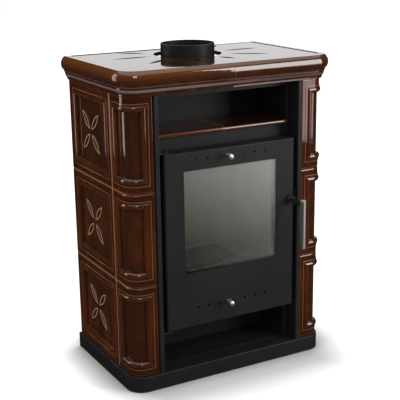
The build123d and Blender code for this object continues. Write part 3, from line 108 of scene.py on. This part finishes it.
# ---------------------------------------------------------------- stage
WORLD_STRENGTH = 0.62
FLOOR_SIZE = 24.0
FLOOR_GLOW_NEAR = 0.50              # added to the lit floor, so that only its shadows show
FLOOR_GLOW_FAR = 0.75
FLOOR_GLOW_FADE = (0.8, 3.5)
FLOOR_CONTACT = 0.115               # reach of the shadow where the plinth meets the floor
SHADE_SHIFT = (0.01, -0.075, 0.0)   # soft shade round the plinth, drawn towards the front
SHADE_HALF = (0.25, 0.18, 1.0)
SHADE_REACH = 0.16
SHADE_GLOW = 0.45
# dark cloth on the floor and behind the lamps, in the mirror image of the glaze alone
CLOTH_RADIUS = 4.2
CLOTH_BOTTOM = 0.004
CLOTH_TOP = 4.5
CLOTH_AZIMUTHS = (-132, 190)
CLOTH_STEPS = 26
STOVE_MIDDLE_Z = 0.45

# Blender's socket numbers of a colour's Mix node
MIX_FIRST, MIX_SECOND, MIX_RESULT = 6, 7, 2
NOISE_RANGE = (0.3, 0.7)            # where most of a noise texture's values lie


def rgba(colour):
    return (*colour, 1.0)


class Nodes:
    """Node tree of one material, with short calls for the nodes that the finishes share."""

    def __init__(self, name):
        self.material = bpy.data.materials.new(name)
        self.material.use_nodes = True
        self.tree = self.material.node_tree
        self.shader = self.tree.nodes["Principled BSDF"]
        self.place = self.add("ShaderNodeTexCoord").outputs["Object"]

    def add(self, kind, **settings):
        node = self.tree.nodes.new(kind)
        for key, value in settings.items():
            setattr(node, key, value)
        return node

    def link(self, start, end):
        self.tree.links.new(start, end)

    def drive(self, **sockets):
        """Links sockets to the shader's own; an underscore stands for a space."""
        for key, socket in sockets.items():
            self.link(socket, self.shader.inputs[key.replace("_", " ")])

    def surface(self, **values):
        """Sets plain values on the shader's own sockets."""
        for key, value in values.items():
            self.shader.inputs[key.replace("_", " ")].default_value = value

    def axes(self, vector=None):
        """X, Y and Z of a vector, or of the place on the object."""
        node = self.add("ShaderNodeSeparateXYZ")
        self.link(vector or self.place, node.inputs["Vector"])
        return node.outputs["X"], node.outputs["Y"], node.outputs["Z"]

    def stretched(self, scale):
        """Object coordinates scaled along each axis."""
        mapping = self.add("ShaderNodeMapping")
        mapping.inputs["Scale"].default_value = scale
        self.link(self.place, mapping.inputs["Vector"])
        return mapping.outputs["Vector"]

    def noise(self, scale, detail=3.0, roughness=0.5, vector=None):
        node = self.add("ShaderNodeTexNoise")
        node.inputs["Scale"].default_value = scale
        node.inputs["Detail"].default_value = detail
        node.inputs["Roughness"].default_value = roughness
        self.link(vector or self.place, node.inputs["Vector"])
        return node.outputs["Fac"]

    def spread(self, value, low, high, to_low=0.0, to_high=1.0):
        """Stretches a value's range and clamps it."""
        node = self.add("ShaderNodeMapRange")
        node.inputs["From Min"].default_value = low
        node.inputs["From Max"].default_value = high
        node.inputs["To Min"].default_value = to_low
        node.inputs["To Max"].default_value = to_high
        self.link(value, node.inputs["Value"])
        return node.outputs["Result"]

    def within(self, value, low, high, most=1.0):
        """Most below the range, falling to 0 above it."""
        return self.spread(value, low, high, most, 0.0)

    def between(self, amount, start, end):
        """A value from start to end, as the amount runs from 0 to 1."""
        return self.spread(amount, 0.0, 1.0, start, end)

    def blend(self, amount, first, second):
        """Mixes two colours, each a tuple or a socket."""
        node = self.add("ShaderNodeMix", data_type="RGBA")
        self.link(amount, node.inputs["Factor"])
        for value, index in ((first, MIX_FIRST), (second, MIX_SECOND)):
            if isinstance(value, tuple):
                node.inputs[index].default_value = rgba(value)
            else:
                self.link(value, node.inputs[index])
        return node.outputs[MIX_RESULT]

    def maths(self, operation, *values):
        """One Math node on numbers and sockets."""
        node = self.add("ShaderNodeMath", operation=operation)
        for value, socket in zip(values, node.inputs):
            if isinstance(value, float):
                socket.default_value = value
            else:
                self.link(value, socket)
        return node.outputs["Value"]

    def times(self, first, second):
        return self.maths("MULTIPLY", first, second)

    def apart(self, value, centre):
        """Distance of a value from a centre."""
        return self.maths("ABSOLUTE", self.maths("SUBTRACT", value, centre))

    def shifted(self, operation, vector, step=(0.0, 0.0, 0.0)):
        """One vector Math node, with a plain second vector."""
        node = self.add("ShaderNodeVectorMath", operation=operation)
        self.link(vector, node.inputs[0])
        node.inputs[1].default_value = step
        return node.outputs["Vector"]

    def length(self, vector):
        node = self.add("ShaderNodeVectorMath", operation="LENGTH")
        self.link(vector, node.inputs["Vector"])
        return node.outputs["Value"]

    def closeness(self, distance, inside, local=True):
        """0 on open, flat surface and towards 1 in creases, or on outward edges if inside."""
        node = self.add("ShaderNodeAmbientOcclusion", samples=8, inside=inside, only_local=local)
        node.inputs["Distance"].default_value = distance
        return self.maths("SUBTRACT", 1.0, node.outputs["AO"])

    def bump(self, height, distance, strength):
        node = self.add("ShaderNodeBump")
        node.inputs["Strength"].default_value = strength
        node.inputs["Distance"].default_value = distance
        self.link(height, node.inputs["Height"])
        self.drive(Normal=node.outputs["Normal"])


# ---------------------------------------------------------------- finishes
def glaze(n, raised, rim_highlight, warm, edge_highlight):
    """Dark brown glaze: light where it is raised and glazed thinly, with painted highlights on its
    rims; dark where it pools in creases, deepened there as painted shade.
    """
    clouds = n.spread(n.noise(9.0), 0.35, 0.68)
    streaks = n.spread(n.noise(6.0, 4.0, vector=n.stretched((5.0, 5.0, 0.8))), 0.36, 0.66)
    body = n.blend(clouds, GLAZE_DARK_AND_CREASE_SHADE, GLAZE_BODY)
    body = n.blend(streaks, GLAZE_DARK_AND_CREASE_SHADE, body)
    # painted highlights: the rims take the lighter colour of the edges
    thin_and_highlit = n.blend(rim_highlight, n.blend(raised, body, warm), edge_highlight)
    # painted shade: darker in the creases, where the glaze also pools
    crease_shade = n.spread(n.closeness(CREASE_SHADE_REACH, inside=False), 0.10, 0.55)
    n.surface(Roughness=GLAZE_ROUGHNESS, IOR=GLAZE_IOR, Coat_Weight=GLAZE_COAT,
              Coat_Roughness=0.02, Coat_IOR=GLAZE_IOR)
    n.bump(n.noise(38.0, 2.0), 0.0008, 0.30)
    return n.blend(crease_shade, thin_and_highlit, GLAZE_DARK_AND_CREASE_SHADE)


def tile_glaze():
    """Glaze of the tiles, with painted highlights on the edges of the frames and petals, and light
    where two tiles meet on the side, painted brighter higher up.
    """
    n = Nodes("tile_glaze")
    x, y, z = n.axes()
    raised = n.spread(n.closeness(RAISED_REACH, inside=True), 0.03, 0.14)
    # painted highlights on the tiles' rims, partly their thinner glaze
    rim_highlight = n.spread(n.closeness(RIM_HIGHLIGHT_REACH, inside=True), 0.16, 0.46)
    upright = n.within(n.apart(y, SIDE_JOINT_Y), *UPRIGHT_JOINT_FADE, most=0.90)
    # painted light: the upright joint grows brighter upwards
    upright = n.times(upright, n.spread(z, *JOINT_LIGHT_FADE_Z, 0.55, 1.0))
    level = n.apart(n.apart(z, TILES_MIDDLE_Z), HALF_ROW)
    level = n.within(level, *LEVEL_JOINT_FADE, most=0.65)
    joint = n.maths("MAXIMUM", upright, level)
    joint = n.times(joint, n.spread(n.apart(x, 0.0), *SIDE_FACE_X))
    petals = n.within(n.apart(y, PANEL_MIDDLE_Y), *PETAL_FADE)
    colour = glaze(n, raised, rim_highlight, GLAZE_WARM, n.blend(petals, GLAZE_FRAME_HIGHLIGHT, GLAZE_PETAL_HIGHLIGHT))
    n.drive(Base_Color=n.blend(joint, colour, GLAZE_JOINT))
    return n.material


def cornice_glaze():
    """Glaze of the cornice, amber on the bullnose with painted light above and painted shade below,
    lighter towards the left as painted light, with two painted reflections on the moulding; the
    walls of the cut-outs stay dull and are painted dark as shade.
    """
    n = Nodes("cornice_glaze")
    x, y, z = n.axes()
    _, _, tilt = n.axes(n.add("ShaderNodeNewGeometry").outputs["Normal"])
    # painted light: the bullnose and the moulding's reflections are lighter towards the left
    lit_left = n.spread(x, *LIT_LEFT_X, 1.0, 0.45)
    nose = n.times(n.spread(z, *NOSE_BOTTOM_Z), n.within(tilt, *NOSE_TILT))
    nose = n.times(nose, lit_left)
    # painted shade on the bullnose's underside, painted light towards its top
    amber = n.blend(n.spread(z, *NOSE_SHADE_TO_LIGHT_Z), GLAZE_NOSE_SHADE, GLAZE_AMBER)
    rim_highlight = n.times(nose, n.spread(n.closeness(RIM_HIGHLIGHT_REACH, inside=True), 0.28, 0.65))
    colour = glaze(n, nose, rim_highlight, amber, GLAZE_EDGE_HIGHLIGHT)
    # painted reflections: two pale bands on the moulding
    for low, high, reflection in MOULDING_REFLECTIONS:
        band = n.times(n.spread(z, low, low + MOULDING_REFLECTION_FADE),
                       n.within(z, high, high + MOULDING_REFLECTION_FADE))
        colour = n.blend(n.times(band, lit_left), colour, reflection)
    # painted shade: the walls of the cut-outs are made near black
    cut = n.times(n.within(n.apart(x, 0.0), *CUT_SIDE_X), n.spread(y, *CUT_FRONT_Y))
    cut = n.times(cut, n.within(z, *CUT_TOP_Z))
    n.drive(Base_Color=n.blend(cut, colour, SLOT_WALL_SHADE),
            Roughness=n.between(cut, GLAZE_ROUGHNESS, 0.85),
            Coat_Weight=n.between(cut, GLAZE_COAT, 0.0))
    return n.material


def black_steel():
    """Heat-proof black paint: satin, with the fine grain that a sprayed coat leaves."""
    n = Nodes("black_steel")
    n.drive(Base_Color=n.blend(n.spread(n.noise(7.0, 4.0), *NOISE_RANGE), *BLACK_PAINT),
            Roughness=n.spread(n.noise(160.0, 2.0), *NOISE_RANGE, 0.42, 0.56))
    n.surface(IOR=1.45, Specular_IOR_Level=0.25)
    n.bump(n.noise(1400.0, 2.0), 0.00012, 0.35)
    return n.material


def zinc_steel():
    """Zinc-plated sheet with its soft grey spangle."""
    n = Nodes("zinc_steel")
    cells = n.add("ShaderNodeTexVoronoi")
    cells.inputs["Scale"].default_value = 90.0
    n.link(n.place, cells.inputs["Vector"])
    spangle = n.between(cells.outputs["Color"], 0.0, 1.0)
    n.drive(Base_Color=n.blend(spangle, *ZINC), Roughness=n.between(spangle, 0.34, 0.48))
    n.surface(Metallic=1.0)
    n.bump(n.noise(300.0, 2.0), 0.0001, 0.2)
    return n.material


def bright_steel():
    """Bare steel, brushed along its length."""
    n = Nodes("bright_steel")
    brushed = n.noise(60.0, 4.0, vector=n.stretched((14.0, 14.0, 0.6)))
    n.drive(Base_Color=n.blend(brushed, *BARE_STEEL),
            Roughness=n.spread(brushed, *NOISE_RANGE, 0.40, 0.52))
    n.surface(Metallic=1.0)
    n.bump(brushed, 0.00008, 0.3)
    return n.material


def chromed_metal():
    """Chrome with the haze of handling."""
    n = Nodes("chromed_metal")
    haze_and_reflection = n.noise(140.0)
    n.drive(Base_Color=n.blend(haze_and_reflection, *CHROME),
            Roughness=n.spread(haze_and_reflection, *NOISE_RANGE, 0.48, 0.58))
    n.surface(Metallic=1.0)
    return n.material


def firebox_steel():
    """Matt black plate of the firebox, dusty with soot."""
    n = Nodes("firebox_steel")
    n.drive(Base_Color=n.blend(n.spread(n.noise(12.0, 5.0, 0.6), 0.35, 0.7), *SOOT))
    n.surface(Roughness=0.78)
    n.bump(n.noise(600.0), 0.0003, 0.4)
    return n.material


def cast_grate():
    """Cast iron with a sand-cast grain."""
    n = Nodes("cast_grate")
    grain = n.noise(420.0, 4.0, 0.65)
    n.drive(Base_Color=n.blend(grain, *CAST_IRON))
    n.surface(Roughness=0.62)
    n.bump(grain, 0.0006, 0.6)
    return n.material


def firebrick():
    """Pale vermiculite board with flakes and soft smudges."""
    n = Nodes("firebrick")
    flakes = n.noise(260.0, 3.0, 0.7)
    smudge = n.spread(n.noise(8.0, 4.0), 0.42, 0.72)
    n.drive(Base_Color=n.blend(smudge, n.blend(flakes, *BRICK), BRICK_SMUDGE))
    n.surface(Roughness=0.88)
    n.bump(flakes, 0.0008, 0.5)
    return n.material


def fire_glass():
    """Glass-ceramic pane, smoky, painted paler upwards and to the right as a reflection."""
    n = Nodes("fire_glass")
    x, _, z = n.axes()
    film = n.spread(n.noise(14.0), *NOISE_RANGE)
    # painted reflection: paler and less clear upwards and to the right
    haze_and_reflection = n.maths("ADD", n.spread(z, 0.36, 0.61, 0.0, 0.6), n.spread(x, -0.12, 0.15, 0.0, 0.4))
    n.drive(Base_Color=n.blend(haze_and_reflection, n.blend(film, *GLASS), GLASS_REFLECTION),
            Roughness=n.between(film, 0.01, 0.03),
            Transmission_Weight=n.between(haze_and_reflection, 0.98, 0.70))
    n.surface(IOR=1.5)
    return n.material


def rope_seal():
    """Woven glass-fibre rope, grey-black."""
    n = Nodes("rope_seal")
    weave = n.add("ShaderNodeTexWave", wave_type="BANDS", bands_direction="DIAGONAL")
    weave.inputs["Scale"].default_value = 150.0
    weave.inputs["Distortion"].default_value = 3.0
    n.link(n.place, weave.inputs["Vector"])
    n.drive(Base_Color=n.blend(weave.outputs["Fac"], *ROPE))
    n.surface(Roughness=0.9)
    n.bump(weave.outputs["Fac"], 0.0012, 0.7)
    return n.material


def dress_nodes():
    """Gives each node of the part the finish of its material slot, the cornice its own."""
    finishes = {
        "tile_glaze": tile_glaze(),
        "black_steel": black_steel(),
        "galvanised_steel": zinc_steel(),
        "bright_steel": bright_steel(),
        "chromed_metal": chromed_metal(),
        "firebox_steel": firebox_steel(),
        "cast_grate": cast_grate(),
        "firebrick": firebrick(),
        "fire_glass": fire_glass(),
        "rope_seal": rope_seal(),
    }
    cornice = cornice_glaze()
    for subpart in frame["record"]["subparts"]:
        finish = finishes[subpart["material_slot"]]
        if subpart["node"].startswith("cornice"):
            finish = cornice
        for slot in frame["nodes"][subpart["node"]].material_slots:
            slot.material = finish


# ---------------------------------------------------------------- stage
def seen_white(tree):
    """1 for camera, glossy and transmission rays, which see a white surround, else 0."""
    rays = tree.nodes.new("ShaderNodeLightPath")
    seen = rays.outputs["Is Camera Ray"]
    for kind in ("Is Glossy Ray", "Is Transmission Ray"):
        either = tree.nodes.new("ShaderNodeMath")
        either.operation = "MAXIMUM"
        tree.links.new(seen, either.inputs[0])
        tree.links.new(rays.outputs[kind], either.inputs[1])
        seen = either.outputs["Value"]
    return seen


def floor_material():
    """Floor that is white but for the object's shadow and a soft shade round the plinth."""
    n = Nodes("floor_white")
    contact = n.spread(n.closeness(FLOOR_CONTACT, inside=False, local=False), 0.02, 0.45)
    outward = n.shifted("SUBTRACT", n.place, SHADE_SHIFT)
    outward = n.shifted("SUBTRACT", n.shifted("ABSOLUTE", outward), SHADE_HALF)
    shade = n.within(n.length(n.shifted("MAXIMUM", outward)), 0.0, SHADE_REACH)
    glow = n.spread(n.length(n.place), *FLOOR_GLOW_FADE, FLOOR_GLOW_NEAR, FLOOR_GLOW_FAR)
    glow = n.times(glow, n.between(contact, 1.0, 0.0))
    glow = n.times(glow, n.between(shade, 1.0, SHADE_GLOW))
    n.drive(Base_Color=n.blend(contact, n.blend(shade, FLOOR_LIT, FLOOR_SHADED), FLOOR_CONTACT_SHADE),
            Emission_Strength=n.times(glow, seen_white(n.tree)))
    n.surface(Emission_Color=rgba(WHITE), Roughness=0.9, Specular_IOR_Level=0.0)
    return n.material


def cloth_material():
    n = Nodes("cloth_black")
    n.drive(Base_Color=n.blend(n.noise(300.0), *CLOTH))
    n.surface(Roughness=1.0, Specular_IOR_Level=0.0)
    return n.material


def stage_object(name, points, faces, material):
    mesh = bpy.data.meshes.new(name)
    mesh.from_pydata(points, [], faces)
    item = bpy.data.objects.new(name, mesh)
    item.data.materials.append(material)
    bpy.context.scene.collection.objects.link(item)
    return item


def around(azimuth, distance):
    """X and Y at an azimuth and a distance from the stove's middle."""
    turn = radians(azimuth)
    return -sin(turn) * distance, -cos(turn) * distance


def make_cloth():
    """Dark cloth that only the mirror images show, as the glaze in the photograph does."""
    first, last = CLOTH_AZIMUTHS
    points = [(0.0, 0.0, CLOTH_BOTTOM)]
    faces = []
    for step in range(CLOTH_STEPS + 1):
        x, y = around(first + (last - first) * step / CLOTH_STEPS, CLOTH_RADIUS)
        points.extend([(x, y, CLOTH_BOTTOM), (x, y, CLOTH_TOP)])
    for step in range(CLOTH_STEPS):
        low = 1 + 2 * step
        faces.append((0, low, low + 2))
        faces.append((low, low + 2, low + 3, low + 1))
    cloth = stage_object("dark_cloth", points, faces, cloth_material())
    cloth.visible_camera = False
    cloth.visible_diffuse = False
    cloth.visible_transmission = False
    cloth.visible_shadow = False


def make_floor():
    half = FLOOR_SIZE / 2
    corners = [(-half, -half, 0), (half, -half, 0), (half, half, 0), (-half, half, 0)]
    stage_object("floor", corners, [(0, 1, 2, 3)], floor_material())


def make_world():
    """White surround that lights the stove at a lower strength than it shows."""
    world = bpy.data.worlds.new("studio")
    bpy.context.scene.world = world
    world.use_nodes = True
    tree = world.node_tree
    background = tree.nodes["Background"]
    background.inputs["Color"].default_value = rgba(WHITE)
    level = tree.nodes.new("ShaderNodeMapRange")
    level.inputs["To Min"].default_value = WORLD_STRENGTH
    level.inputs["To Max"].default_value = 1.0
    tree.links.new(seen_white(tree), level.inputs["Value"])
    tree.links.new(level.outputs["Result"], background.inputs["Strength"])


def softbox(name, azimuth, distance, bottom, top, width, radiance, aim_height=None, tint=WHITE):
    """Soft box that faces the stove, level unless it is aimed at a height."""
    height = top - bottom
    middle = (bottom + top) / 2
    lamp = bpy.data.lights.new(name, "AREA")
    lamp.shape = "RECTANGLE"
    lamp.size = width
    lamp.size_y = height
    lamp.energy = radiance * pi * width * height
    lamp.color = tint
    box = bpy.data.objects.new(name, lamp)
    box.location = (*around(azimuth, distance), middle)
    target = Vector((0.0, 0.0, middle if aim_height is None else aim_height))
    box.rotation_mode = "QUATERNION"
    box.rotation_quaternion = (target - box.location).to_track_quat("-Z", "Y")
    bpy.context.scene.collection.objects.link(box)
    return box


def make_lights():
    """Soft boxes that the glaze mirrors, and one fill that it doesn't."""
    softbox("left_rear_box", azimuth=126.0, distance=2.1, bottom=0.20, top=2.0, width=1.05,
            radiance=2.0, tint=(1.0, 0.87, 0.79))
    fill = softbox("left_high_box", azimuth=80.0, distance=2.6, bottom=2.1, top=3.1, width=1.6,
                   radiance=5.0, aim_height=STOVE_MIDDLE_Z, tint=(1.0, 0.94, 0.89))
    fill.visible_glossy = False
    softbox("right_high_box", azimuth=-41.2, distance=2.77, bottom=0.50, top=2.4, width=1.24,
            radiance=6.8)
    softbox("right_low_box", azimuth=-41.0, distance=2.77, bottom=0.10, top=0.45, width=1.15,
            radiance=2.6, tint=(1.0, 0.82, 0.78))
    softbox("front_high_box", azimuth=20.0, distance=3.2, bottom=1.9, top=3.0, width=1.0,
            radiance=5.0, aim_height=STOVE_MIDDLE_Z)
    softbox("rear_box", azimuth=-151.0, distance=3.2, bottom=2.6, top=3.8, width=3.0,
            radiance=1.5, aim_height=STOVE_MIDDLE_Z)


def make_camera():
    """Camera at the photograph's place, turned and rolled as it was."""
    forward = Vector((sin(CAMERA_YAW) * cos(CAMERA_PITCH),
                      cos(CAMERA_YAW) * cos(CAMERA_PITCH),
                      -sin(CAMERA_PITCH)))
    level = Vector((cos(CAMERA_YAW), -sin(CAMERA_YAW), 0.0))
    upright = level.cross(forward)
    right = cos(CAMERA_ROLL) * level + sin(CAMERA_ROLL) * upright
    up = -sin(CAMERA_ROLL) * level + cos(CAMERA_ROLL) * upright
    lens = bpy.data.cameras.new("camera")
    lens.lens = CAMERA_LENS
    lens.sensor_width = SENSOR_WIDTH
    camera = bpy.data.objects.new("camera", lens)
    turn = Matrix((right, up, -forward)).transposed().to_4x4()
    camera.matrix_world = Matrix.Translation(CAMERA_PLACE) @ turn
    bpy.context.scene.collection.objects.link(camera)
    bpy.context.scene.camera = camera


dress_nodes()
make_floor()
make_cloth()
make_world()
make_lights()
make_camera()
bpy.context.scene.view_settings.view_transform = "Standard"
